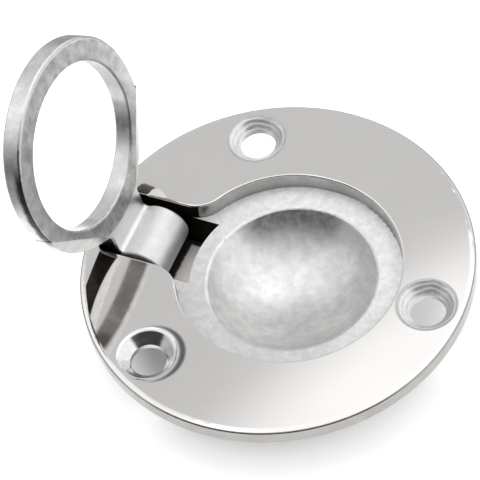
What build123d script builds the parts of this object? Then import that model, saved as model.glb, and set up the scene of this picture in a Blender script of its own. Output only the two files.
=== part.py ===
from build123d import *

import os
from math import acos, atan2, cos, radians, sin, sqrt

# A recessed ring pull: a round cast plate with a dished finger bowl, and a finger ring that
# turns on a pin at one side and lies in the plate when it is closed.
# Millimetres. The origin is the plate's centre on its mounting face, +Z leaves the front
# face, and the hinge is on the -X side with its pin along Y.

# Plate
plate_diameter = 63.5
face_height = 2.8            # crowned front face above the mounting face, at the middle
crown_drop = 0.25            # fall of the crown from the middle to the edge roll
edge_roll_width = 1.0        # narrow roll between the crown and the rim
edge_roll_drop = 0.2
rim_rounding = 0.35
face_edge_rounding = 0.28    # edges of the recess and the slot in the front face
casting_wall = 1.7
back_corner_fillet = 0.5
back_edge_rounding = 0.6

# Screw holes
screw_count = 3
countersink_diameter = 9.3
countersink_depth = 1.75
countersink_angle = 90
countersink_start = 0.1      # the cone is cut from this far above the face
countersink_lip_rounding = 0.8
countersink_to_edge = 1.4    # plain face left between a countersink and the plate's edge
countersink_to_seat = 0.75   # and between it and the ring's seat

# Hinge slot, and the pocket and housing below it
slot_to_edge = 2.65          # plain face left between the slot and the plate's edge
slot_corner_radius = 1.3
slot_flare_radius = 5.2      # round corners where the slot opens into the seat
pocket_ledge_width = 2.75    # ledge between the bowl and the pocket's round edge
cheek_wall = 1.9
housing_end_wall = 1.4
housing_corner_radius = 3.0

# Hinge pin
pin_diameter = 2.8
pin_end_recess = 0.1         # pin ends below the outside of the cheeks
pin_chamfer = 0.3
pin_running_clearance = 0.05

# Knuckle and the room that it turns in
knuckle_width = 10.1
knuckle_radius = 4.2
knuckle_depth = 0.5          # top of the knuckle below the face
knuckle_corner_fillet = 0.8
knuckle_blend_reach = 3.0    # from the pin to where the knuckle's top meets the ring's top
knuckle_blend_radius = 8.0
knuckle_side_gap = 1.05
knuckle_end_gap = 2.4        # to the slot's end
knuckle_seat_gap = 2.0       # to the near end of the seat's oval
knuckle_floor_gap = 1.1

# Ring seat: the oval recess that the ring lies in, with its flat ledge
seat_stretch = 0.9           # how far apart the two round ends of the oval are centred
seat_depth = 3.1             # ledge below the face
seat_corner_fillet = 0.3

# Finger bowl, part of a sphere as deep as the pocket
ledge_width = 4.1
bowl_shift = 0.25            # middle of the bowl from the middle of the seat
bowl_wall = 2.2
bowl_lip_rounding = 0.6

# Ring
ring_thickness = 3.2
ring_rise = 0.4              # how far the closed ring stands above the face
ring_band_width = 3.3
ring_side_gap = 1.15         # between the ring and the wall of its seat
ring_grip_gap = 0.4          # the same at the grip
ring_edge_rounding = 0.4
ring_open_angle = 104.3      # as it leans on the end of the slot
flank_end_angle = 107.8      # where the flat sides meet the round outline, from the grip
flank_corner_radius = 3.0
shoulder_gap = 3.7           # from the knuckle to where the flanks begin
shoulder_radius = 2.0
neck_relief = 0.33           # how much the neck has thinned at the knuckle

level_margin = 0.01          # for picking edges by their height

# Places across the plate, worked out from the sizes above
plate_radius = plate_diameter / 2
roll_start = plate_radius - edge_roll_width
slot_end = plate_radius - slot_to_edge
slot_width = knuckle_width + 2 * knuckle_side_gap
hinge_offset = slot_end - knuckle_end_gap - knuckle_radius
screw_circle_radius = plate_radius - countersink_to_edge - countersink_diameter / 2
seat_near_end = hinge_offset - knuckle_radius - knuckle_seat_gap
seat_far_end = plate_radius - countersink_to_edge - countersink_diameter - countersink_to_seat
seat_radius = (seat_near_end + seat_far_end - seat_stretch) / 2
seat_offset = (seat_far_end - seat_near_end) / 2
bowl_radius = seat_radius - ledge_width
bowl_offset = seat_offset + bowl_shift
pocket_ledge_radius = bowl_radius + pocket_ledge_width
housing_width = slot_width + 2 * cheek_wall
housing_end = slot_end + housing_end_wall

# Heights
roll_start_height = face_height - crown_drop
rim_height = roll_start_height - edge_roll_drop


def crown_height(radius):
    """Height of the front face, a shallow parabola, at a distance from the plate's centre."""
    return face_height - crown_drop * (radius / roll_start) ** 2


face_level = crown_height(seat_radius)
ledge_level = face_level - seat_depth
ledge_underside = ledge_level - casting_wall
hinge_depth = knuckle_depth + knuckle_radius
hinge_level = face_level - hinge_depth
pocket_depth = hinge_depth + knuckle_radius + knuckle_floor_gap
pocket_floor = face_level - pocket_depth
back_level = pocket_floor - casting_wall
bowl_depth = ledge_level - pocket_floor
bowl_sphere_radius = (bowl_radius**2 + bowl_depth**2) / (2 * bowl_depth)
bowl_centre = (bowl_offset, pocket_floor + bowl_sphere_radius)

pin_radius = pin_diameter / 2
screw_hole_radius = countersink_diameter / 2 - countersink_depth
bowl_axis = Axis((bowl_offset, 0, 0), (0, 0, 1))
screw_plane = Plane.XY.offset(crown_height(screw_circle_radius) + countersink_start)
cheek_plane = Plane(origin=(-hinge_offset, -housing_width / 2, hinge_level), z_dir=(0, -1, 0))


# Base plate: flange, ring seat, bowl and hinge housing, cast in one piece
with BuildPart() as base_plate:
    # Crowned flange with its rolled edge
    with BuildSketch(Plane.XZ):
        with BuildLine():
            crown = Bezier(
                (0, face_height), (roll_start / 2, face_height), (roll_start, roll_start_height)
            )
            TangentArc(crown @ 1, (plate_radius, rim_height), tangent=crown % 1)
            Polyline((plate_radius, rim_height), (plate_radius, 0), (0, 0), (0, face_height))
        make_face()
    revolve(axis=Axis.Z)
    rim_edges = base_plate.edges().group_by(SortBy.LENGTH)[-1]
    fillet(rim_edges.sort_by(Axis.Z)[-1], radius=rim_rounding)

    # Outside of the ring seat
    with BuildSketch(Plane.XY):
        with Locations((seat_offset, 0)):
            SlotCenterToCenter(seat_stretch, 2 * (seat_radius + casting_wall))
    extrude(amount=ledge_underside)
    fillet(base_plate.edges().group_by(Axis.Z)[0], radius=back_edge_rounding)

    # Outside of the bowl, cut off to a flat foot that is level with the housing
    with BuildSketch(Plane.XZ):
        with Locations(bowl_centre):
            Circle(bowl_sphere_radius + bowl_wall)
        with Locations((bowl_offset, back_level)):
            Rectangle(
                bowl_sphere_radius + bowl_wall,
                ledge_level - back_level,
                align=(Align.MIN, Align.MIN),
                mode=Mode.INTERSECT,
            )
    revolve(axis=bowl_axis)

    # Hinge housing
    with BuildSketch(Plane.XY):
        with Locations((-housing_end, 0)):
            Rectangle(
                housing_end + bowl_offset, housing_width, align=(Align.MIN, Align.CENTER)
            )
        fillet(vertices().group_by(Axis.X)[0], radius=housing_corner_radius)
        with Locations((bowl_offset, 0)):
            Circle(pocket_ledge_radius - casting_wall, mode=Mode.SUBTRACT)
    extrude(amount=back_level)
    housing_inner_end = bowl_offset - pocket_ledge_radius + casting_wall
    housing_rim = base_plate.edges().group_by(Axis.Z)[0]
    fillet(
        housing_rim.filter_by_position(Axis.X, -housing_end, housing_inner_end),
        radius=back_edge_rounding,
    )

    # Corners on the back of the flange, all but its outer edge
    flange_corners = base_plate.edges().filter_by_position(Axis.Z, -level_margin, level_margin)
    fillet(flange_corners.sort_by(SortBy.LENGTH)[:-1], radius=back_corner_fillet)

    # Recess for the ring and the hinge slot, down to the ledge
    with BuildSketch(Plane.XY.offset(ledge_level)):
        with Locations((seat_offset, 0)):
            SlotCenterToCenter(seat_stretch, 2 * seat_radius)
        with Locations((-slot_end, 0)):
            Rectangle(slot_end + seat_offset, slot_width, align=(Align.MIN, Align.CENTER))
        flare_corners = vertices().filter_by_position(Axis.X, -hinge_offset, -seat_radius / 2)
        fillet(flare_corners, radius=slot_flare_radius)
        fillet(vertices().group_by(Axis.X)[0], radius=slot_corner_radius)
    extrude(amount=face_height - ledge_level, mode=Mode.SUBTRACT)
    face_edges = base_plate.edges().filter_by_position(
        Axis.Z, roll_start_height + level_margin, face_height
    )
    fillet(face_edges, radius=face_edge_rounding)
    ledge_corners = base_plate.edges().filter_by_position(
        Axis.Z, ledge_level - level_margin, ledge_level + level_margin
    )
    fillet(ledge_corners, radius=seat_corner_fillet)

    # Pocket for the knuckle, up to the round edge of the ledge
    with BuildSketch(Plane.XY.offset(pocket_floor)):
        with Locations((-slot_end, 0)):
            Rectangle(slot_end + bowl_offset, slot_width, align=(Align.MIN, Align.CENTER))
        fillet(vertices().group_by(Axis.X)[0], radius=slot_corner_radius)
        with Locations((bowl_offset, 0)):
            Circle(pocket_ledge_radius, mode=Mode.SUBTRACT)
    extrude(amount=pocket_depth, mode=Mode.SUBTRACT)

    # Finger bowl with its rounded lip
    with BuildSketch(Plane.XZ):
        with Locations(bowl_centre):
            Circle(bowl_sphere_radius)
        with Locations((bowl_offset, pocket_floor)):
            Rectangle(
                bowl_sphere_radius, bowl_depth, align=(Align.MIN, Align.MIN), mode=Mode.INTERSECT
            )
    revolve(axis=bowl_axis, mode=Mode.SUBTRACT)
    ledge_edges = base_plate.edges().filter_by_position(
        Axis.Z, ledge_level - level_margin, ledge_level + level_margin
    )
    fillet(ledge_edges.sort_by(SortBy.LENGTH)[-1], radius=bowl_lip_rounding)

    # Countersunk screw holes with rounded lips
    with Locations(screw_plane):
        with PolarLocations(screw_circle_radius, screw_count):
            CounterSinkHole(
                radius=screw_hole_radius,
                counter_sink_radius=countersink_diameter / 2 + countersink_start,
                counter_sink_angle=countersink_angle,
            )
    countersinks = base_plate.faces().filter_by(GeomType.CONE)
    fillet(
        [cone.edges().sort_by(Axis.Z)[-1] for cone in countersinks],
        radius=countersink_lip_rounding,
    )

    # Bore for the pin through both cheeks
    with Locations(cheek_plane):
        Hole(pin_radius, depth=housing_width)

base_plate.part.label = "base_plate"


# Hinge pin, pressed into the cheeks
with BuildPart() as hinge_pin:
    with BuildSketch(cheek_plane.offset(-pin_end_recess)):
        Circle(pin_radius)
    extrude(amount=2 * pin_end_recess - housing_width)
    chamfer(hinge_pin.edges().filter_by(GeomType.CIRCLE), length=pin_chamfer)

hinge_pin.part.label = "hinge_pin"


# The ring's own frame: x runs from the pin to the grip, z towards the ring's front face
open_angle = radians(ring_open_angle)
hinge_point = (-hinge_offset, 0, hinge_level)
ring_direction = (cos(open_angle), 0, sin(open_angle))
ring_normal = Axis(hinge_point, (-sin(open_angle), 0, cos(open_angle)))
ring_plane = Plane(origin=hinge_point, x_dir=ring_direction, z_dir=ring_normal.direction)
ring_section_plane = Plane(origin=hinge_point, x_dir=ring_direction, z_dir=(0, -1, 0))

# Outline of the ring: a round outer edge, stretched at the grip, with flat flanks to the neck
ring_outer_radius = seat_radius - ring_side_gap
ring_inner_radius = ring_outer_radius - ring_band_width
grip_centre = hinge_offset + seat_far_end - ring_grip_gap - ring_outer_radius
ring_reach = grip_centre - seat_stretch
neck_half_width = knuckle_width / 2
shoulder = knuckle_radius + shoulder_gap
neck_start = shoulder - 0.45 * shoulder_radius
flank_end = (
    ring_reach + ring_outer_radius * cos(radians(flank_end_angle)),
    ring_outer_radius * sin(radians(flank_end_angle)),
)

# Section of the neck: the underside meets the knuckle at the heel, and the top runs into it
# along a tangent
ring_top = hinge_depth + ring_rise
ring_underside = ring_top - ring_thickness
heel_height = ring_underside + neck_relief
heel = (sqrt(knuckle_radius**2 - heel_height**2), heel_height)
blend_distance = sqrt(knuckle_blend_reach**2 + ring_top**2)
tangent_angle = atan2(ring_top, knuckle_blend_reach) + acos(knuckle_radius / blend_distance)
knuckle_top = (knuckle_radius * cos(tangent_angle), knuckle_radius * sin(tangent_angle))


# Pull ring: band, flat-sided neck and knuckle, cast in one piece
with BuildPart() as pull_ring:
    # Band with its hole
    with BuildSketch(ring_plane.offset(ring_underside)):
        with BuildLine():
            Polyline(
                (neck_start, 0),
                (neck_start, neck_half_width),
                (shoulder, neck_half_width),
                flank_end,
            )
            TangentArc((ring_reach, ring_outer_radius), flank_end, tangent=(-1, 0))
            Line((ring_reach, ring_outer_radius), (grip_centre, ring_outer_radius))
            TangentArc(
                (grip_centre, ring_outer_radius),
                (grip_centre + ring_outer_radius, 0),
                tangent=(1, 0),
            )
            mirror(about=Plane.XZ)
        make_face()
        flank_corners = vertices().filter_by_position(
            Axis.X, flank_end[0] - level_margin, flank_end[0] + level_margin
        )
        fillet(flank_corners, radius=flank_corner_radius)
        shoulders = vertices().filter_by_position(
            Axis.X, shoulder - level_margin, shoulder + level_margin
        )
        fillet(shoulders, radius=shoulder_radius)
        with Locations((ring_reach, 0)):
            Circle(ring_inner_radius, mode=Mode.SUBTRACT)
    extrude(amount=ring_thickness)

    # Neck and knuckle
    with BuildSketch(ring_section_plane):
        Circle(knuckle_radius)
        with BuildLine():
            Polyline(
                (0, 0),
                heel,
                (neck_start, ring_underside),
                (neck_start, ring_top),
                (knuckle_blend_reach, ring_top),
                knuckle_top,
                close=True,
            )
        make_face()
        fillet(vertices().sort_by_distance(heel)[0], radius=knuckle_corner_fillet)
        blend_corner = vertices().sort_by_distance((knuckle_blend_reach, ring_top))[0]
        fillet(blend_corner, radius=knuckle_blend_radius)
    extrude(amount=neck_half_width, both=True)

    # Rounded outline on both faces and along the knuckle's sides
    outline_edges = (
        pull_ring.edges()
        - pull_ring.edges().filter_by(ring_normal)
        - pull_ring.edges().filter_by(Axis.Y)
    )
    fillet(outline_edges, radius=ring_edge_rounding)

    # Running bore for the pin
    with Locations(ring_section_plane.offset(neck_half_width)):
        Hole(pin_radius + pin_running_clearance, depth=knuckle_width)

pull_ring.part.label = "pull_ring"


os.makedirs("parts", exist_ok=True)
export_step(base_plate.part, "parts/base_plate.step")
export_step(hinge_pin.part, "parts/hinge_pin.step")
export_step(pull_ring.part, "parts/pull_ring.step")
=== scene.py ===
"""Looks of a recessed ring pull: a polished cast plate, a hinge pin and a satin finger ring."""

from __future__ import annotations

import logging
import math
from dataclasses import dataclass
from enum import IntEnum

import bpy
from mathutils import Matrix, Vector

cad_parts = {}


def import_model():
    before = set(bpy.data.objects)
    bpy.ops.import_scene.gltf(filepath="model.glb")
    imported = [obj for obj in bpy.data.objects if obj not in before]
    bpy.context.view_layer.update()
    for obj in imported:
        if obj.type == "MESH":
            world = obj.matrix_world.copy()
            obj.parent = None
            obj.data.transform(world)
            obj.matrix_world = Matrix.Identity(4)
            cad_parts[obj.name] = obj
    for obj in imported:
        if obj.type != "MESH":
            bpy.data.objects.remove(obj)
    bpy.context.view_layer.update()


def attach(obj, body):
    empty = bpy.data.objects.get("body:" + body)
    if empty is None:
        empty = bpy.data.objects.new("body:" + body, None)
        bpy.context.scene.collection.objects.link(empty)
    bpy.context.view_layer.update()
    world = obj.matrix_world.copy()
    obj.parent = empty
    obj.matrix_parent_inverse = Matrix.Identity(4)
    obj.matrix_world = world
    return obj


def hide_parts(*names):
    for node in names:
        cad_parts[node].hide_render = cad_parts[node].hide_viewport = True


LOG = logging.getLogger("ring_pull")
MM = 0.001
MERGE_DISTANCE = 1e-7
MIX_FACTOR = 0
MIX_FIRST = 6
MIX_SECOND = 7
MIX_RESULT = 2


# Places on the object in millimetres, as the frame has them

RING_OPEN = math.radians(104.3)
RING_PIN = Vector((-22.5, 0, -1.985))
RING_ALONG = Vector((math.cos(RING_OPEN), 0, math.sin(RING_OPEN)))
RING_ACROSS = Vector((-math.sin(RING_OPEN), 0, math.cos(RING_OPEN)))
RING_REACH = 24.8
SCREW_COUNT = 3
SCREW_CIRCLE = 25.7
SCREW_REACH = 6.0
NEAR_SCREW = 2
SCREWS = tuple(
    Vector((math.cos(turn * math.tau / SCREW_COUNT), math.sin(turn * math.tau / SCREW_COUNT))) * SCREW_CIRCLE
    for turn in range(SCREW_COUNT)
)


# Node helpers


class NodeBench:
    """Lays out the nodes of one material or world and joins them."""

    def __init__(self, tree: bpy.types.NodeTree) -> None:
        """Empties the tree.

        Args:
            tree: The node tree to fill.
        """
        self.tree = tree
        tree.nodes.clear()

    def node(self, kind: str, inputs: dict | None = None, **settings: object) -> bpy.types.Node:
        """Adds a node, sets it up and joins its inputs.

        Args:
            kind: The node's type name.
            inputs: Values or output sockets by input name or number.
            settings: Properties of the node.

        Returns:
            The new node.
        """
        made = self.tree.nodes.new(kind)
        for name, value in settings.items():
            setattr(made, name, value)
        for name, value in (inputs or {}).items():
            if isinstance(value, bpy.types.NodeSocket):
                self.tree.links.new(value, made.inputs[name])
            else:
                made.inputs[name].default_value = value
        return made

    def math(self, operation: str, a: object, b: object = 0.0, clamp: bool = False) -> bpy.types.NodeSocket:
        """A Math node's result.

        Args:
            operation: What it works out.
            a: First value or socket.
            b: Second value or socket.
            clamp: Whether the result stays between 0 and 1.

        Returns:
            The result's socket.
        """
        return self.node("ShaderNodeMath", {0: a, 1: b}, operation=operation, use_clamp=clamp).outputs[0]

    def ramp(
        self, value: object, low: float, high: float, start: float = 0.0, end: float = 1.0
    ) -> bpy.types.NodeSocket:
        """A smooth step from start to end while a value goes from low to high.

        Args:
            value: The socket that is read.
            low: The value where the step begins.
            high: The value where it ends.
            start: The result at low.
            end: The result at high.

        Returns:
            The result's socket.
        """
        inputs = {"Value": value, "From Min": low, "From Max": high, "To Min": start, "To Max": end}
        return self.node("ShaderNodeMapRange", inputs, interpolation_type="SMOOTHSTEP").outputs[0]

    def noise(
        self, place: object, scale: float, detail: float = 3.0, rough: float = 0.55
    ) -> bpy.types.NodeSocket:
        """A noise pattern's factor.

        Args:
            place: The coordinates' socket.
            scale: Pattern features in each metre.
            detail: How many finer layers are added.
            rough: How strong the finer layers are.

        Returns:
            The factor's socket.
        """
        inputs = {"Vector": place, "Scale": scale, "Detail": detail, "Roughness": rough}
        return self.node("ShaderNodeTexNoise", inputs).outputs["Fac"]

    def bump(self, height: object, depth: float, normal: object = None) -> bpy.types.NodeSocket:
        """A normal that follows a height.

        Args:
            height: The height's socket, from 0 to 1.
            depth: How far 0 and 1 are apart in metres.
            normal: The normal below it, if there is one.

        Returns:
            The normal's socket.
        """
        inputs = {"Strength": 1.0, "Distance": depth, "Height": height}
        if normal:
            inputs["Normal"] = normal
        return self.node("ShaderNodeBump", inputs).outputs[0]

    def vector(self, operation: str, a: object, b: object = (0, 0, 0)) -> bpy.types.NodeSocket:
        """A Vector Math node's vector, such as a sum or a direction.

        Args:
            operation: What it works out.
            a: First vector or socket.
            b: Second vector or socket.

        Returns:
            The vector's socket.
        """
        return self.node("ShaderNodeVectorMath", {0: a, 1: b}, operation=operation).outputs["Vector"]

    def number(self, operation: str, a: object, b: object = (0, 0, 0)) -> bpy.types.NodeSocket:
        """A Vector Math node's number, such as a length, a distance or a dot product.

        Args:
            operation: What it works out.
            a: First vector or socket.
            b: Second vector or socket.

        Returns:
            The number's socket.
        """
        return self.node("ShaderNodeVectorMath", {0: a, 1: b}, operation=operation).outputs["Value"]

    def scaled(self, vector: object, factor: object) -> bpy.types.NodeSocket:
        """A vector or colour times a factor.

        Args:
            vector: The vector's or colour's socket.
            factor: The factor's socket.

        Returns:
            The result's socket.
        """
        sides = {0: vector, "Scale": factor}
        return self.node("ShaderNodeVectorMath", sides, operation="SCALE").outputs["Vector"]

    def coordinate(self, place: object, axis: str) -> bpy.types.NodeSocket:
        """One coordinate of a place.

        Args:
            place: The coordinates' socket.
            axis: X, Y or Z.

        Returns:
            The coordinate's socket.
        """
        return self.node("ShaderNodeSeparateXYZ", {0: place}).outputs[axis]

    def across_plate(self, place: object) -> bpy.types.NodeSocket:
        """A place or direction without its height.

        Args:
            place: The coordinates' socket.

        Returns:
            The flat coordinates' socket.
        """
        return self.vector("MULTIPLY", place, (1, 1, 0))

    def mix_color(self, factor: object, a: object, b: object) -> bpy.types.NodeSocket:
        """A colour between two others.

        Args:
            factor: 0 gives a, 1 gives b.
            a: First colour or socket.
            b: Second colour or socket.

        Returns:
            The colour's socket.
        """
        made = self.node("ShaderNodeMix", data_type="RGBA")
        for number, value in ((MIX_FACTOR, factor), (MIX_FIRST, a), (MIX_SECOND, b)):
            if isinstance(value, bpy.types.NodeSocket):
                self.tree.links.new(value, made.inputs[number])
            else:
                made.inputs[number].default_value = value
        return made.outputs[MIX_RESULT]


def grey(level: float, warmth: float = 0.0) -> tuple[float, float, float, float]:
    """A grey that can lean to warm or cool.

    Args:
        level: Its brightness.
        warmth: How much red is added and blue taken away.

    Returns:
        Red, green, blue and alpha.
    """
    return (level + warmth, level, level - warmth, 1.0)


# Finishes


@dataclass(frozen=True)
class MetalFinish:
    """Bare steel with a worked surface: mottled tone, uneven gloss and fine relief, sized in metres."""

    name: str
    light: float
    dark: float
    gloss_low: float
    gloss_high: float
    patch_scale: float = 700.0
    patch_low: float = 0.30
    patch_high: float = 0.70
    gloss_fineness: float = 1.7
    grain_scale: float = 2200.0
    grain_height: float = 4e-6
    wave_scale: float = 120.0
    wave_height: float = 0.0
    spots: float = 0.0
    spot_scale: float = 900.0
    spot_low: float = 0.62
    spot_high: float = 0.74
    spot_level: float = 0.10
    warmth: float = 0.004
    metallic: float = 1.0

    def tone(self, bench: NodeBench, place: object) -> bpy.types.NodeSocket:
        """The metal's mottled colour.

        Args:
            bench: Where the nodes go.
            place: The coordinates' socket.

        Returns:
            The colour's socket.
        """
        patches = bench.noise(place, self.patch_scale, detail=6.0, rough=0.62)
        spread = bench.ramp(patches, self.patch_low, self.patch_high)
        tone = bench.mix_color(spread, grey(self.dark, self.warmth), grey(self.light, self.warmth))
        if self.spots:
            field = bench.noise(place, self.spot_scale, detail=4.0, rough=0.7)
            pits = bench.ramp(field, self.spot_low, self.spot_high, 0.0, self.spots)
            tone = bench.mix_color(pits, tone, grey(self.spot_level, self.warmth))
        return tone

    def relief(self, bench: NodeBench, place: object) -> bpy.types.NodeSocket:
        """The surface's fine relief as a normal.

        Args:
            bench: Where the nodes go.
            place: The coordinates' socket.

        Returns:
            The normal's socket.
        """
        normal = bench.bump(bench.noise(place, self.grain_scale, detail=3.0, rough=0.6), self.grain_height)
        if self.wave_height:
            normal = bench.bump(bench.noise(place, self.wave_scale, detail=1.0), self.wave_height, normal)
        return normal

    def gloss(self, bench: NodeBench, place: object) -> bpy.types.NodeSocket:
        """The surface's uneven roughness.

        Args:
            bench: Where the nodes go.
            place: The coordinates' socket.

        Returns:
            The roughness's socket.
        """
        blotches = bench.noise(place, self.patch_scale * self.gloss_fineness, detail=4.0, rough=0.6)
        return bench.ramp(blotches, self.patch_low, self.patch_high, self.gloss_low, self.gloss_high)

    def material(self) -> bpy.types.Material:
        """The finish as a material.

        Returns:
            The new material.
        """
        made = bpy.data.materials.new(self.name)
        made.use_nodes = True
        bench = NodeBench(made.node_tree)
        place = bench.node("ShaderNodeTexCoord").outputs["Object"]
        shader = bench.node(
            "ShaderNodeBsdfPrincipled",
            {
                "Base Color": self.tone(bench, place),
                "Metallic": self.metallic,
                "Roughness": self.gloss(bench, place),
                "Normal": self.relief(bench, place),
            },
        )
        bench.node("ShaderNodeOutputMaterial", {"Surface": shader.outputs[0]})
        return made


@dataclass(frozen=True)
class CrescentFinish(MetalFinish):
    """Mirror polish with a painted dark reflection, a crescent beside the near-left screw hole."""

    crescent_radius: float = 0.0052
    crescent_shift: tuple[float, float, float] = (0.00088, 0.00034, 0.0)
    crescent_blur: float = 0.0003
    crescent_share: float = 0.88
    dark_reflection_level: float = 0.09

    def tone(self, bench: NodeBench, place: object) -> bpy.types.NodeSocket:
        """The polish's colour, with a painted dark reflection in the crescent between two shifted circles.

        Args:
            bench: Where the nodes go.
            place: The coordinates' socket.

        Returns:
            The colour's socket.
        """
        # The crescent is a painted dark reflection beside the near-left screw hole.
        flat = bench.across_plate(place)
        hole = SCREWS[NEAR_SCREW].to_3d() * MM
        from_hole = bench.number("DISTANCE", flat, hole)
        from_shifted = bench.number("DISTANCE", flat, hole + Vector(self.crescent_shift))
        low = self.crescent_radius - self.crescent_blur
        high = self.crescent_radius + self.crescent_blur
        outside = bench.ramp(from_hole, low, high)
        inside = bench.ramp(from_shifted, low, high, self.crescent_share, 0.0)
        dark = bench.math("MULTIPLY", outside, inside)
        return bench.mix_color(dark, super().tone(bench, place), grey(self.dark_reflection_level))


@dataclass(frozen=True)
class TurnedFinish(MetalFinish):
    """Steel with the concentric marks of a countersink drill, with painted shade on one side of the cone and
    a painted dark reflection round the lip.
    """

    mark_pitch: float = 0.00034
    mark_height: float = 6e-6
    wander_scale: float = 500.0
    wander: float = 5.0
    shaded_side: tuple[float, float, float] = (0.93, -0.36, 0.0)
    darker_from: float = -0.4
    darker_to: float = 0.5
    darker_share: float = 0.55
    shade_level: float = 0.30
    cone_radius: float = 0.0043
    cone_blur: float = 0.0002
    lip_radius: float = 0.0047
    lip_reflection_share: float = 0.0

    def from_screw(self, bench: NodeBench, place: object) -> bpy.types.NodeSocket:
        """The offset across the plate from the axis of the screw hole that is in reach.

        Args:
            bench: Where the nodes go.
            place: The coordinates' socket.

        Returns:
            The offset's socket, 0 away from the screw holes.
        """
        flat = bench.across_plate(place)
        total: object = (0, 0, 0)
        for screw in SCREWS:
            offset = bench.vector("SUBTRACT", flat, screw.to_3d() * MM)
            in_reach = bench.math("LESS_THAN", bench.number("LENGTH", offset), SCREW_REACH * MM)
            total = bench.vector("ADD", total, bench.scaled(offset, in_reach))
        return total

    def tone(self, bench: NodeBench, place: object) -> bpy.types.NodeSocket:
        """The steel's colour, with painted shade on one side of the cone and a painted dark reflection round
        its lip.

        Args:
            bench: Where the nodes go.
            place: The coordinates' socket.

        Returns:
            The colour's socket.
        """
        # Painted shade on one side of the cone, and a painted dark reflection in a band round the lip.
        offset = self.from_screw(bench, place)
        away = bench.number("LENGTH", offset)
        aside = bench.number("DOT_PRODUCT", bench.vector("NORMALIZE", offset), self.shaded_side)
        darker = bench.ramp(aside, self.darker_from, self.darker_to, 0.0, self.darker_share)
        cone = bench.ramp(away, self.cone_radius - self.cone_blur, self.cone_radius, 1.0, 0.0)
        lip_reflection = bench.ramp(away, self.cone_radius, self.lip_radius, 0.0, self.lip_reflection_share)
        darker = bench.math("MAXIMUM", bench.math("MULTIPLY", darker, cone), lip_reflection)
        return bench.mix_color(darker, super().tone(bench, place), grey(self.shade_level, self.warmth))

    def relief(self, bench: NodeBench, place: object) -> bpy.types.NodeSocket:
        """The turned marks over the fine relief, as a normal.

        Args:
            bench: Where the nodes go.
            place: The coordinates' socket.

        Returns:
            The normal's socket.
        """
        uneven = bench.noise(place, self.wander_scale, detail=2.0)
        away = bench.number("LENGTH", self.from_screw(bench, place))
        turns = bench.math("MULTIPLY", away, math.tau / self.mark_pitch)
        turns = bench.math("ADD", turns, bench.math("MULTIPLY", uneven, self.wander))
        marks = bench.math("SINE", turns)
        return bench.bump(marks, self.mark_height, super().relief(bench, place))


@dataclass(frozen=True)
class LedgeFinish(MetalFinish):
    """Tumbled steel with painted light on the far side of the seat and painted shade on the near side."""

    lit_side: tuple[float, float, float] = (0.30, 0.95, 0.0)
    pale_reach: float = 0.016
    darker_share: float = 0.82
    painted_light_share: float = 1.22

    def tone(self, bench: NodeBench, place: object) -> bpy.types.NodeSocket:
        """The steel's mottled colour, from painted shade to painted light across the seat.

        Args:
            bench: Where the nodes go.
            place: The coordinates' socket.

        Returns:
            The colour's socket.
        """
        # Painted shade on the near side of the seat and painted light on its far side.
        across = bench.number("DOT_PRODUCT", place, self.lit_side)
        share = bench.ramp(across, -self.pale_reach, self.pale_reach, self.darker_share, self.painted_light_share)
        return bench.scaled(super().tone(bench, place), share)


@dataclass(frozen=True)
class PocketFinish(MetalFinish):
    """Dull casting in the hinge pocket, with a painted lit patch on its floor and painted shadow, near
    black, below the knuckle and in the far corner.
    """

    barrel_shadow_edge: float = -0.0188
    far_shadow_edge: float = 0.0052
    edge_width: float = 0.0005
    edge_scale: float = 900.0
    shadow_level: float = 0.012

    def tone(self, bench: NodeBench, place: object) -> bpy.types.NodeSocket:
        """The casting's colour, with painted shadow, near black, below the knuckle and in the pocket's far
        corner.

        Args:
            bench: Where the nodes go.
            place: The coordinates' socket.

        Returns:
            The colour's socket.
        """
        # The pale patch is painted light; the near-black rest is painted shadow of the knuckle and of the
        # pocket's far wall.
        uneven = bench.math("MULTIPLY", bench.noise(place, self.edge_scale), self.edge_width)
        toward_bowl = bench.math("ADD", bench.coordinate(place, "X"), uneven)
        lit = bench.ramp(toward_bowl, self.barrel_shadow_edge, self.barrel_shadow_edge + self.edge_width)
        far = bench.math("ADD", bench.coordinate(place, "Y"), uneven)
        near = bench.ramp(far, self.far_shadow_edge, self.far_shadow_edge + self.edge_width, 1.0, 0.0)
        lit = bench.math("MULTIPLY", lit, near)
        return bench.mix_color(lit, grey(self.shadow_level), super().tone(bench, place))


@dataclass(frozen=True)
class RingFaceFinish(MetalFinish):
    """Satin casting on the ring's faces, with painted light where the neck and flanks leave the band."""

    paler_level: float = 0.80
    band_radius: float = 0.0166
    band_edge: float = 0.0004
    paler_aside_from: float = 0.0115
    paler_aside_to: float = 0.0155
    paler_aside_share: float = 0.30
    darker_from: float = 0.0147
    darker_to: float = 0.0136
    darker_share: float = 0.15

    def tone(self, bench: NodeBench, place: object) -> bpy.types.NodeSocket:
        """The band's mottled colour, paler toward its sides, with painted light outside its circle, and
        darker toward the hole's edge.

        Args:
            bench: Where the nodes go.
            place: The coordinates' socket.

        Returns:
            The colour's socket.
        """
        middle = RING_PIN + RING_ALONG * RING_REACH
        offset = bench.vector("SUBTRACT", place, middle * MM)
        away = bench.number("LENGTH", bench.vector("CROSS_PRODUCT", offset, RING_ACROSS))
        # Outside the band's circle the face gets painted light.
        paler = bench.ramp(away, self.band_radius, self.band_radius + self.band_edge)
        aside = bench.math("ABSOLUTE", bench.coordinate(place, "Y"))
        paler_aside = bench.ramp(aside, self.paler_aside_from, self.paler_aside_to, 0.0, self.paler_aside_share)
        paler = bench.math("MAXIMUM", paler, paler_aside)
        darker = bench.ramp(away, self.darker_to, self.darker_from, self.darker_share, 0.0)
        tone = bench.mix_color(paler, super().tone(bench, place), grey(self.paler_level, self.warmth))
        return bench.mix_color(darker, tone, grey(self.dark, self.warmth))


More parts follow.
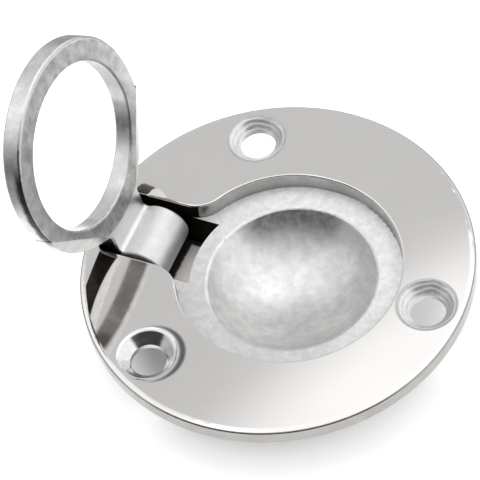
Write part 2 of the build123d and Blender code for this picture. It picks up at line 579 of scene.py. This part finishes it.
@dataclass(frozen=True)
class DarkEdgeReflectionFinish(MetalFinish):
    """Half-polished side of the ring, with a painted dark reflection in a band low on it beside the under
    face.
    """

    edge_reflection_level: float = 0.05
    edge_reflection_from: float = 0.0033
    edge_reflection_to: float = 0.0043
    wander_scale: float = 500.0
    wander: float = 0.0012
    edge_reflection_low: float = 0.014
    low_fade: float = 0.004
    edge_reflection_high: float = 0.0295
    high_fade: float = 0.003

    def tone(self, bench: NodeBench, place: object) -> bpy.types.NodeSocket:
        """The side's colour, with the painted dark reflection along that band.

        Args:
            bench: Where the nodes go.
            place: The coordinates' socket.

        Returns:
            The colour's socket.
        """
        depth = bench.number("DOT_PRODUCT", bench.vector("SUBTRACT", place, RING_PIN * MM), RING_ACROSS)
        uneven = bench.noise(place, self.wander_scale, detail=5.0, rough=0.7)
        edge = bench.math("ADD", depth, bench.math("MULTIPLY", uneven, self.wander))
        # The dark band beside the under face is a painted dark reflection.
        edge_reflection = bench.ramp(edge, self.edge_reflection_from, self.edge_reflection_to, 1.0, 0.0)
        height = bench.coordinate(place, "Z")
        above = bench.ramp(height, self.edge_reflection_low, self.edge_reflection_low + self.low_fade)
        under = bench.ramp(height, self.edge_reflection_high, self.edge_reflection_high + self.high_fade, 1.0, 0.0)
        edge_reflection = bench.math("MULTIPLY", edge_reflection, bench.math("MULTIPLY", above, under))
        return bench.mix_color(edge_reflection, super().tone(bench, place), grey(self.edge_reflection_level, self.warmth))


@dataclass(frozen=True)
class HoleFinish(MetalFinish):
    """The ring hole's wall, bright in its low part, with painted shade above."""

    shade_low: float = 0.0172
    shade_high: float = 0.0204
    shade_level: float = 0.44
    shade_warmth: float = 0.008

    def tone(self, bench: NodeBench, place: object) -> bpy.types.NodeSocket:
        """The wall's colour, from bright below to painted shade above.

        Args:
            bench: Where the nodes go.
            place: The coordinates' socket.

        Returns:
            The colour's socket.
        """
        # Painted shade darkens the wall's upper part.
        darker = bench.ramp(bench.coordinate(place, "Z"), self.shade_low, self.shade_high)
        return bench.mix_color(darker, super().tone(bench, place), grey(self.shade_level, self.shade_warmth))


POLISHED_FACE = CrescentFinish(
    name="polished_face", light=0.80, dark=0.78, warmth=0.011,
    gloss_low=0.05, gloss_high=0.07, patch_scale=60.0,
    grain_scale=3000.0, grain_height=2e-8, wave_scale=45.0, wave_height=2e-6,
)
# The rim is the face's polish at half its brightness: a painted darker reflection.
POLISHED_RIM_DARK_REFLECTION = MetalFinish(
    name="polished_rim_dark_reflection", light=0.41, dark=0.35, warmth=0.012,
    gloss_low=0.14, gloss_high=0.22, patch_scale=300.0,
    grain_scale=2500.0, grain_height=2e-6,
)
SEAT_WALL = MetalFinish(
    name="seat_wall", light=0.52, dark=0.40,
    gloss_low=0.28, gloss_high=0.42, patch_scale=350.0,
    grain_scale=2200.0, grain_height=1.0e-5,
)
TUMBLED_LEDGE = LedgeFinish(
    name="tumbled_ledge", light=0.74, dark=0.60, metallic=0.1,
    gloss_low=0.50, gloss_high=0.65, patch_scale=900.0,
    grain_scale=2600.0, grain_height=6e-6,
    spots=0.25, spot_scale=1300.0, spot_level=0.36,
)
TUMBLED_BOWL = MetalFinish(
    name="tumbled_bowl", light=0.80, dark=0.66,
    gloss_low=0.30, gloss_high=0.42, patch_scale=600.0,
    grain_scale=2400.0, grain_height=8e-6,
    spots=0.3, spot_scale=420.0, spot_level=0.30,
)
# Near black: painted shade on the hinge pocket's walls.
HINGE_POCKET_SHADE = MetalFinish(
    name="hinge_pocket_shade", light=0.015, dark=0.008,
    gloss_low=0.60, gloss_high=0.75, patch_scale=350.0,
    grain_scale=1800.0, grain_height=1.5e-5,
)
# Near-white non-metal floor of the pocket: painted light, with painted shadow below the knuckle and in the
# far corner.
POCKET_FLOOR = PocketFinish(
    name="pocket_floor_painted_light", light=0.96, dark=0.88, warmth=0.03, metallic=0.0,
    gloss_low=0.50, gloss_high=0.65, patch_scale=900.0,
)
BURNISHED_SINK = TurnedFinish(
    name="burnished_sink", light=0.80, dark=0.70, warmth=-0.01,
    gloss_low=0.10, gloss_high=0.16, mark_pitch=0.0011, mark_height=6e-6,
)
TURNED_SINK = TurnedFinish(
    name="turned_sink", light=0.84, dark=0.74, metallic=0.8, lip_reflection_share=0.6,
    gloss_low=0.34, gloss_high=0.46, mark_pitch=0.0006, mark_height=2.0e-5,
)
CAST_BACK = MetalFinish(
    name="cast_back", light=0.62, dark=0.48,
    gloss_low=0.42, gloss_high=0.58, patch_scale=500.0,
    grain_scale=1400.0, grain_height=1.5e-5, spots=0.3, spot_scale=800.0,
)
RING_FACE = RingFaceFinish(
    name="ring_face", light=0.60, dark=0.35,
    gloss_low=0.30, gloss_high=0.44, patch_scale=520.0,
    grain_scale=1900.0, grain_height=8e-6, wave_scale=260.0, wave_height=1.6e-5,
    spots=0.4, spot_scale=700.0,
)
RING_OUTSIDE = DarkEdgeReflectionFinish(
    name="ring_outside", light=0.80, dark=0.62,
    gloss_low=0.20, gloss_high=0.32, patch_scale=400.0,
    grain_scale=2200.0, grain_height=4e-6, wave_scale=200.0, wave_height=1.4e-5,
    spots=0.3, spot_scale=600.0,
)
RING_HOLE = HoleFinish(
    name="ring_hole", light=0.76, dark=0.64,
    gloss_low=0.20, gloss_high=0.32, patch_scale=400.0,
    grain_scale=2200.0, grain_height=4e-6, wave_scale=200.0, wave_height=1.0e-5,
)
# Dark painted shade on the faces that turn down in the ring's hole.
RING_HOLE_TOP_SHADE = MetalFinish(
    name="ring_hole_top_shade", light=0.24, dark=0.16, warmth=0.012, gloss_low=0.25, gloss_high=0.35
)
# Near-black painted shade on the ring's outer faces that turn down.
RING_UNDERSIDE_SHADE = MetalFinish(
    name="ring_underside_shade", light=0.035, dark=0.02, gloss_low=0.30, gloss_high=0.45
)
RING_KNUCKLE = MetalFinish(
    name="ring_knuckle", light=0.80, dark=0.72, metallic=0.6,
    gloss_low=0.42, gloss_high=0.54, patch_scale=500.0,
    grain_scale=2000.0, grain_height=6e-6,
)
RING_FLANK = MetalFinish(
    name="ring_flank", light=0.80, dark=0.70,
    gloss_low=0.30, gloss_high=0.42, patch_scale=500.0,
    grain_scale=2000.0, grain_height=6e-6,
)
GROUND_PIN = MetalFinish(
    name="ground_pin", light=0.62, dark=0.50,
    gloss_low=0.18, gloss_high=0.28, patch_scale=500.0,
    grain_scale=2500.0, grain_height=4e-6,
)


# Pieces


@dataclass
class CastPiece:
    """A piece that takes its shape from a CAD node and gets a finish for each kind of face."""

    node: str
    piece: str
    slot: str

    def copy_of_node(self) -> bpy.types.Object:
        """Copies the node's mesh, merges its loose triangles and keeps its smooth normals.

        Returns:
            The copy, under the piece's own name.
        """
        bpy.ops.object.select_all(action="DESELECT")
        source = bpy.data.objects[self.node]
        source.select_set(True)
        bpy.context.view_layer.objects.active = source
        bpy.ops.object.duplicate()
        made = bpy.context.view_layer.objects.active
        made.name = self.piece
        mesh = made.data
        mesh.name = self.piece
        flat = [value for corner in mesh.corner_normals for value in corner.vector]
        kept = mesh.attributes.new("true_normal", "FLOAT_VECTOR", "CORNER")
        kept.data.foreach_set("vector", flat)
        bpy.ops.object.mode_set(mode="EDIT")
        bpy.ops.mesh.select_all(action="SELECT")
        bpy.ops.mesh.remove_doubles(threshold=MERGE_DISTANCE)
        bpy.ops.object.mode_set(mode="OBJECT")
        flat = [0.0] * (3 * len(mesh.loops))
        kept = mesh.attributes["true_normal"]
        kept.data.foreach_get("vector", flat)
        mesh.attributes.remove(kept)
        mesh.polygons.foreach_set("use_smooth", [True] * len(mesh.polygons))
        mesh.normals_split_custom_set([flat[at : at + 3] for at in range(0, len(flat), 3)])
        return made

    def zone(self, centre: Vector, normal: Vector) -> int:
        """Which finish a face has.

        Args:
            centre: The face's centre in millimetres.
            normal: Its normal.

        Returns:
            The finish's place in the list of finishes.
        """
        raise NotImplementedError

    def finishes(self) -> tuple[MetalFinish, ...]:
        """The piece's finishes, in the order of its zones."""
        raise NotImplementedError

    def shape(self) -> bpy.types.Object:
        """The piece's shape, before it gets its finishes."""
        return self.copy_of_node()

    def build(self) -> bpy.types.Object:
        """Makes the piece, dresses it and hides the node it copies.

        Returns:
            The finished piece.
        """
        made = self.shape()
        mesh = made.data
        mesh.materials.clear()
        for finish in self.finishes():
            mesh.materials.append(finish.material())
        zones = [self.zone(face.center / MM, face.normal) for face in mesh.polygons]
        mesh.polygons.foreach_set("material_index", zones)
        mesh.update()
        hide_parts(self.node)
        return made


class PlateZone(IntEnum):
    """The differently finished areas of the base plate."""

    FACE = 0
    RIM = 1
    WALL = 2
    LEDGE = 3
    BOWL = 4
    POCKET = 5
    POCKET_FLOOR = 6
    NEAR_SINK = 7
    SINK = 8
    BACK = 9


@dataclass
class BasePlate(CastPiece):
    """The plate: polished face and rim, tumbled seat and bowl, turned countersinks, cast back.

    The borders between its finishes are in millimetres.
    """

    rim_radius: float = 31.45
    rim_low: float = 0.01
    face_low: float = 2.2
    ledge_level: float = -0.385
    ledge_rise: float = 0.2
    ledge_slope: float = 0.8
    level_margin: float = 0.05
    seat_reach: float = 19.55
    bowl_centre: float = 2.25
    bowl_reach: float = 14.0
    ball_height: float = 9.865
    ball_reach: float = 17.5
    slot_half_width: float = 6.5
    slot_mouth: float = -15.8
    slot_end: float = -29.15
    pocket_low: float = -7.4
    pocket_slope: float = 0.5
    sink_radius: float = 4.7
    lip_radius: float = 5.0
    lip_slope: float = 0.998

    def finishes(self) -> tuple[MetalFinish, ...]:
        """The plate's finishes, in the order of its zones."""
        return (
            POLISHED_FACE,
            POLISHED_RIM_DARK_REFLECTION,
            SEAT_WALL,
            TUMBLED_LEDGE,
            TUMBLED_BOWL,
            HINGE_POCKET_SHADE,
            POCKET_FLOOR,
            BURNISHED_SINK,
            TURNED_SINK,
            CAST_BACK,
        )

    def zone(self, centre: Vector, normal: Vector) -> int:
        """Which finish a face of the plate has.

        Args:
            centre: The face's centre in millimetres.
            normal: Its normal.

        Returns:
            The finish's place in the list of finishes.
        """
        from_bowl = (centre.xy - Vector((self.bowl_centre, 0))).length
        from_ball = (centre - Vector((self.bowl_centre, 0, self.ball_height))).length
        above_ledge = centre.z - self.ledge_level
        in_slot = abs(centre.y) < self.slot_half_width and self.slot_end < centre.x < 0
        reaches = [(centre.xy - screw).length for screw in SCREWS]
        limit = self.lip_radius if normal.z < self.lip_slope else self.sink_radius
        sinks = [number for number, reach in enumerate(reaches) if reach < limit]
        if centre.z > -self.level_margin and sinks:
            return PlateZone.NEAR_SINK if NEAR_SCREW in sinks else PlateZone.SINK
        if centre.xy.length > self.rim_radius and centre.z > self.rim_low:
            return PlateZone.RIM
        if centre.z > self.face_low:
            return PlateZone.FACE
        if above_ledge < self.level_margin and from_ball < self.ball_reach and from_bowl < self.bowl_reach:
            return PlateZone.BOWL
        if -self.level_margin < above_ledge < self.ledge_rise and normal.z > self.ledge_slope:
            return PlateZone.LEDGE
        if in_slot and centre.x < self.slot_mouth and above_ledge > -self.level_margin:
            return PlateZone.POCKET
        if above_ledge > -self.level_margin and (from_bowl < self.seat_reach or in_slot):
            return PlateZone.WALL
        if in_slot and centre.z > self.pocket_low:
            return PlateZone.POCKET_FLOOR if normal.z > self.pocket_slope else PlateZone.POCKET
        return PlateZone.BACK


class RingZone(IntEnum):
    """The differently finished areas of the ring."""

    FACE = 0
    OUTSIDE = 1
    HOLE = 2
    HOLE_TOP = 3
    UNDERSIDE = 4
    KNUCKLE = 5
    FLANK = 6


@dataclass
class PullRing(CastPiece):
    """The ring: satin cast faces, smoother sides, a rubbed knuckle, and flanks filled to a full round.

    Its sizes are in millimetres and its angles in degrees.
    """

    outer_radius: float = 16.7
    hole_reach: float = 13.9
    hole_top_slope: float = -0.5
    knuckle_reach: float = 4.35
    face_slope: float = 0.7
    under_slope: float = -0.56
    neck_half_width: float = 5.05
    shoulder: float = 7.9
    flank_end: tuple[float, float] = (19.7, 15.9)
    face_low: float = 1.9
    face_high: float = 5.09
    fill_overlap: float = 0.45
    fill_stretch: float = 1.05
    fill_tilt: float = 22.0
    fill_slope: float = -0.3
    fill_sides: int = 256
    fill_rounding: float = 0.35
    rounding_steps: int = 4
    rounding_angle: float = 35.0
    smooth_angle: float = 30.0

    def finishes(self) -> tuple[MetalFinish, ...]:
        """The ring's finishes, in the order of its zones."""
        return (RING_FACE, RING_OUTSIDE, RING_HOLE, RING_HOLE_TOP_SHADE, RING_UNDERSIDE_SHADE, RING_KNUCKLE, RING_FLANK)

    def flank_outward(self) -> Vector:
        """The direction away from the +Y flank, in the ring's own frame."""
        run = Vector((self.flank_end[0] - self.shoulder, self.flank_end[1] - self.neck_half_width))
        return Vector((-run.y, run.x, 0)).normalized()

    def flank_fill(self, side: int) -> bpy.types.Object:
        """Makes the rounded body that fills one flat flank out to the band's circle.

        Args:
            side: 1 for the +Y flank, -1 for the other.

        Returns:
            The body, in its place.
        """
        mirror = Vector((1, side, 1))
        outward = self.flank_outward() * mirror
        start = Vector((self.shoulder, self.neck_half_width, self.face_low)) * mirror
        start -= outward * self.fill_overlap
        tilt = math.radians(self.fill_tilt)
        toward_face = outward * math.sin(tilt) - Vector((0, 0, math.cos(tilt)))
        cuts = ((start, -outward), (start, toward_face), (start, Vector((0, -side, 0))))
        thickness = self.face_high - self.face_low
        middle = Vector((RING_REACH, 0, self.face_low + thickness / 2))
        bpy.ops.object.select_all(action="DESELECT")
        bpy.ops.mesh.primitive_cylinder_add(
            vertices=self.fill_sides,
            radius=self.outer_radius * MM,
            depth=thickness * MM,
            location=middle * MM,
        )
        made = bpy.context.active_object
        made.scale.x = self.fill_stretch
        bpy.ops.object.transform_apply(location=True, rotation=True, scale=True)
        bpy.ops.object.mode_set(mode="EDIT")
        for place, away in cuts:
            bpy.ops.mesh.select_all(action="SELECT")
            bpy.ops.mesh.bisect(plane_co=place * MM, plane_no=away, use_fill=True, clear_outer=True)
        bpy.ops.object.mode_set(mode="OBJECT")
        rounding = made.modifiers.new("rounding", "BEVEL")
        rounding.width = self.fill_rounding * MM
        rounding.segments = self.rounding_steps
        rounding.angle_limit = math.radians(self.rounding_angle)
        bpy.ops.object.modifier_apply(modifier=rounding.name)
        bpy.ops.object.shade_smooth_by_angle(angle=math.radians(self.smooth_angle))
        turn = Matrix((RING_ALONG, Vector((0, 1, 0)), RING_ACROSS)).transposed().to_4x4()
        made.matrix_world = Matrix.Translation(RING_PIN * MM) @ turn
        bpy.ops.object.transform_apply(location=True, rotation=True, scale=True)
        return made

    def shape(self) -> bpy.types.Object:
        """Joins the filled flanks to the ring.

        Returns:
            The ring, under the piece's own name.
        """
        fills = [self.flank_fill(side) for side in (1, -1)]
        made = self.copy_of_node()
        for part in (*fills, made):
            part.select_set(True)
        bpy.context.view_layer.objects.active = made
        bpy.ops.object.join()
        return made

    def zone(self, centre: Vector, normal: Vector) -> int:
        """Which finish a face of the ring has.

        Args:
            centre: The face's centre in millimetres.
            normal: Its normal.

        Returns:
            The finish's place in the list of finishes.
        """
        from_pin = centre - RING_PIN
        if from_pin.xz.length < self.knuckle_reach:
            return RingZone.KNUCKLE
        along = from_pin.dot(RING_ALONG)
        corner = Vector((self.shoulder, self.neck_half_width, 0))
        beyond = (Vector((along, abs(centre.y), 0)) - corner).dot(self.flank_outward())
        facing = normal.dot(RING_ACROSS)
        if beyond > -self.fill_overlap and abs(centre.y) > self.neck_half_width - self.fill_overlap:
            if facing < self.fill_slope:
                return RingZone.FLANK
        if abs(facing) > self.face_slope:
            return RingZone.FACE
        from_middle = Vector((along - RING_REACH, centre.y))
        if from_middle.length < self.hole_reach:
            # Faces of the hole that turn down get painted shade.
            return RingZone.HOLE_TOP if normal.z < self.hole_top_slope else RingZone.HOLE
        # Outside faces that turn down get near-black painted shade.
        return RingZone.UNDERSIDE if normal.z < self.under_slope else RingZone.OUTSIDE


@dataclass
class HingePin:
    """The pin, whose node keeps its own shape."""

    node: str = "hinge_pin"

    def build(self) -> bpy.types.Object:
        """Gives the pin its finish.

        Returns:
            The node's object.
        """
        made = bpy.data.objects[self.node]
        made.data.materials.clear()
        made.data.materials.append(GROUND_PIN.material())
        return made


# Studio


@dataclass(frozen=True)
class SkyPatch:
    """A soft round patch of the surroundings: where its middle is, how far it goes and how bright it is.

    Outer and inner are the cosines of the angles off its middle where it ends and where it is full.
    """

    side: tuple[float, float, float]
    outer: float
    inner: float
    light: float = 1.0

    def shown(self, bench: NodeBench, toward: object) -> bpy.types.NodeSocket:
        """The patch's light in each direction, 0 outside it.

        Args:
            bench: Where the nodes go.
            toward: The direction's socket.

        Returns:
            The light's socket.
        """
        near = bench.number("DOT_PRODUCT", toward, Vector(self.side).normalized())
        return bench.ramp(near, self.outer, self.inner, 0.0, self.light)


@dataclass(frozen=True)
class Studio:
    """Floor, surroundings, lamp and camera, in metres and degrees, with sensor and lens in millimetres."""

    floor_level: float = -0.00899
    floor_size: float = 6.0
    floor_glow: float = 0.5
    plate_shade: tuple[float, float] = (0.024, 0.032)
    shade_side: tuple[float, float] = (-0.018, 0.024)
    shade_glow: tuple[float, float] = (0.08, 0.5)
    mirrored_from: tuple[float, float] = (0.05, 0.10)
    mirrored_loss: float = 0.8
    coat: tuple[float, float] = (0.12, 0.8)
    tent_height: tuple[float, float] = (-0.1, 0.55)
    tent_light: tuple[float, float] = (0.72, 0.60)
    cloth_scale: float = 2.2
    cloth_light: float = 0.16
    overhead_height: tuple[float, float] = (0.92, 0.97)
    overhead_light: float = 0.54
    softbox: SkyPatch = SkyPatch((0.054, 0.304, 0.951), 0.914, 0.933, 0.54)
    window: SkyPatch = SkyPatch((0.80, 0.42, 0.42), 0.45, 0.80, 0.5)
    side_window: SkyPatch = SkyPatch((-0.633, -0.112, 0.766), 0.83, 0.92, 0.45)
    dark_side: SkyPatch = SkyPatch((0.292, -0.956, 0.0), 0.30, 0.68)
    dark_height: tuple[float, float] = (0.60, 0.80)
    dark_level: float = 0.08
    lamp_power: float = 1.3
    lamp_size: float = 0.5
    lamp_place: tuple[float, float, float] = (-0.10, 0.16, 0.6)
    aim: tuple[float, float, float] = (0.0, 0.0, 0.0027)
    camera_azimuth: float = 32.752
    camera_elevation: float = 54.134
    camera_roll: float = -12.294
    camera_distance: float = 0.48365
    nearest_seen: float = 0.01
    sensor: float = 36.0
    lens: float = 228.28
    shift: tuple[float, float] = (-0.0759, 0.0483)

    def floor_material(self) -> bpy.types.Material:
        """The floor's pale paint, which glows for the camera and in mirrors, with a painted shadow below the
        plate where its glow is turned down.

        Returns:
            The new material.
        """
        material = bpy.data.materials.new("pale_floor")
        material.use_nodes = True
        bench = NodeBench(material.node_tree)
        seen = bench.node("ShaderNodeLightPath")
        place = bench.node("ShaderNodeTexCoord").outputs["Object"]
        away = bench.number("LENGTH", place)
        # Painted shadow: the floor's glow is turned down below the plate, more on its -X side.
        outside = bench.ramp(away, *self.plate_shade)
        dimmed = bench.ramp(bench.coordinate(place, "X"), *self.shade_side, *self.shade_glow)
        below_plate = bench.math("MULTIPLY", bench.math("SUBTRACT", 1.0, outside), dimmed)
        far = bench.ramp(away, *self.mirrored_from)
        mirrored = bench.math("MULTIPLY", far, seen.outputs["Is Glossy Ray"])
        near = bench.math("SUBTRACT", 1.0, bench.math("MULTIPLY", mirrored, self.mirrored_loss))
        open_floor = bench.math("MULTIPLY", bench.math("ADD", outside, below_plate), near)
        strength = bench.math("MULTIPLY", open_floor, self.floor_glow)
        dark_coat, pale_coat = self.coat
        coat = bench.mix_color(near, grey(dark_coat), grey(pale_coat))
        paint = bench.node("ShaderNodeBsdfDiffuse", {"Color": coat})
        glow = bench.node("ShaderNodeEmission", {"Color": grey(1.0), "Strength": strength})
        both = bench.node("ShaderNodeAddShader", {0: paint.outputs[0], 1: glow.outputs[0]})
        sharp = bench.math("ADD", seen.outputs["Is Camera Ray"], seen.outputs["Is Glossy Ray"])
        shown = bench.math("ADD", sharp, seen.outputs["Is Transmission Ray"], clamp=True)
        cover = bench.node("ShaderNodeMixShader", {0: shown, 1: paint.outputs[0], 2: both.outputs[0]})
        bench.node("ShaderNodeOutputMaterial", {"Surface": cover.outputs[0]})
        return material

    def floor(self) -> bpy.types.Object:
        """Makes the pale floor, which shows nearly white and keeps a soft shadow.

        Returns:
            The floor.
        """
        bpy.ops.object.select_all(action="DESELECT")
        bpy.ops.mesh.primitive_plane_add(size=self.floor_size, location=(0, 0, self.floor_level))
        made = bpy.context.active_object
        made.name = "studio_floor"
        bpy.ops.object.transform_apply(location=True, rotation=True, scale=True)
        made.data.materials.append(self.floor_material())
        return made

    def surroundings(self) -> None:
        """Lights the object from a pale tent with a softbox above it and a dim side at the camera."""
        world = bpy.data.worlds.new("studio")
        bpy.context.scene.world = world
        world.use_nodes = True
        bench = NodeBench(world.node_tree)
        toward = bench.node("ShaderNodeTexCoord").outputs["Generated"]
        height = bench.coordinate(toward, "Z")
        cloth = bench.math("MULTIPLY", bench.noise(toward, self.cloth_scale, detail=2.0), self.cloth_light)
        tent = bench.math("ADD", bench.ramp(height, *self.tent_height, *self.tent_light), cloth)
        overhead = bench.ramp(height, *self.overhead_height, 0.0, self.overhead_light)
        light = bench.math("ADD", tent, bench.math("MAXIMUM", self.softbox.shown(bench, toward), overhead))
        light = bench.math("ADD", light, self.window.shown(bench, toward))
        light = bench.math("ADD", light, self.side_window.shown(bench, toward))
        level = bench.vector("NORMALIZE", bench.across_plate(toward))
        low = bench.ramp(height, *self.dark_height, 1.0, 0.0)
        dark = bench.math("MULTIPLY", self.dark_side.shown(bench, level), low)
        light = bench.math("MULTIPLY", light, bench.ramp(dark, 0.0, 1.0, 1.0, self.dark_level))
        glow = bench.node("ShaderNodeBackground", {"Color": grey(1.0), "Strength": light})
        bench.node("ShaderNodeOutputWorld", {"Surface": glow.outputs[0]})

    def lamp(self) -> None:
        """Adds a large soft lamp overhead that shades the floor."""
        data = bpy.data.lights.new("overhead_lamp", "AREA")
        data.shape = "DISK"
        data.size = self.lamp_size
        data.energy = self.lamp_power
        lamp = bpy.data.objects.new("overhead_lamp", data)
        lamp.location = self.lamp_place
        lamp.rotation_euler = (Vector(self.aim) - lamp.location).to_track_quat("-Z", "Y").to_euler()
        lamp.visible_glossy = False
        bpy.context.collection.objects.link(lamp)

    def camera(self) -> None:
        """Sets the camera at the photograph's viewpoint."""
        azimuth = math.radians(self.camera_azimuth)
        elevation = math.radians(self.camera_elevation)
        roll = math.radians(self.camera_roll)
        out = math.cos(elevation)
        back = Vector((math.sin(azimuth) * out, -math.cos(azimuth) * out, math.sin(elevation)))
        right = Vector((0, 0, 1)).cross(back).normalized()
        up = back.cross(right)
        tilted_right = math.cos(roll) * right + math.sin(roll) * up
        tilted_up = math.cos(roll) * up - math.sin(roll) * right
        turn = Matrix((tilted_right, tilted_up, back)).transposed().to_4x4()
        data = bpy.data.cameras.new("camera")
        data.sensor_width = self.sensor
        data.lens = self.lens
        data.shift_x, data.shift_y = self.shift
        data.clip_start = self.nearest_seen
        camera = bpy.data.objects.new("camera", data)
        camera.matrix_world = Matrix.Translation(Vector(self.aim) + back * self.camera_distance) @ turn
        bpy.context.collection.objects.link(camera)
        bpy.context.scene.camera = camera

    def build(self) -> None:
        """Sets up the whole studio."""
        self.floor()
        self.surroundings()
        self.lamp()
        self.camera()
        bpy.context.scene.view_settings.view_transform = "Standard"


def main() -> None:
    """Loads the frame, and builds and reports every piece."""
    logging.basicConfig(level=logging.INFO, format="%(message)s")
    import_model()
    plate = BasePlate("base_plate", "plate_casting", "plate_metal").build()
    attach(plate, "base")
    pin = HingePin().build()
    ring = PullRing("pull_ring", "ring_casting", "ring_metal").build()
    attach(ring, "ring")
    Studio().build()
    for made in (plate, pin, ring):
        LOG.info("%s: %d faces, %d finishes", made.name, len(made.data.polygons), len(made.data.materials))


if __name__ == "__main__":
    main()
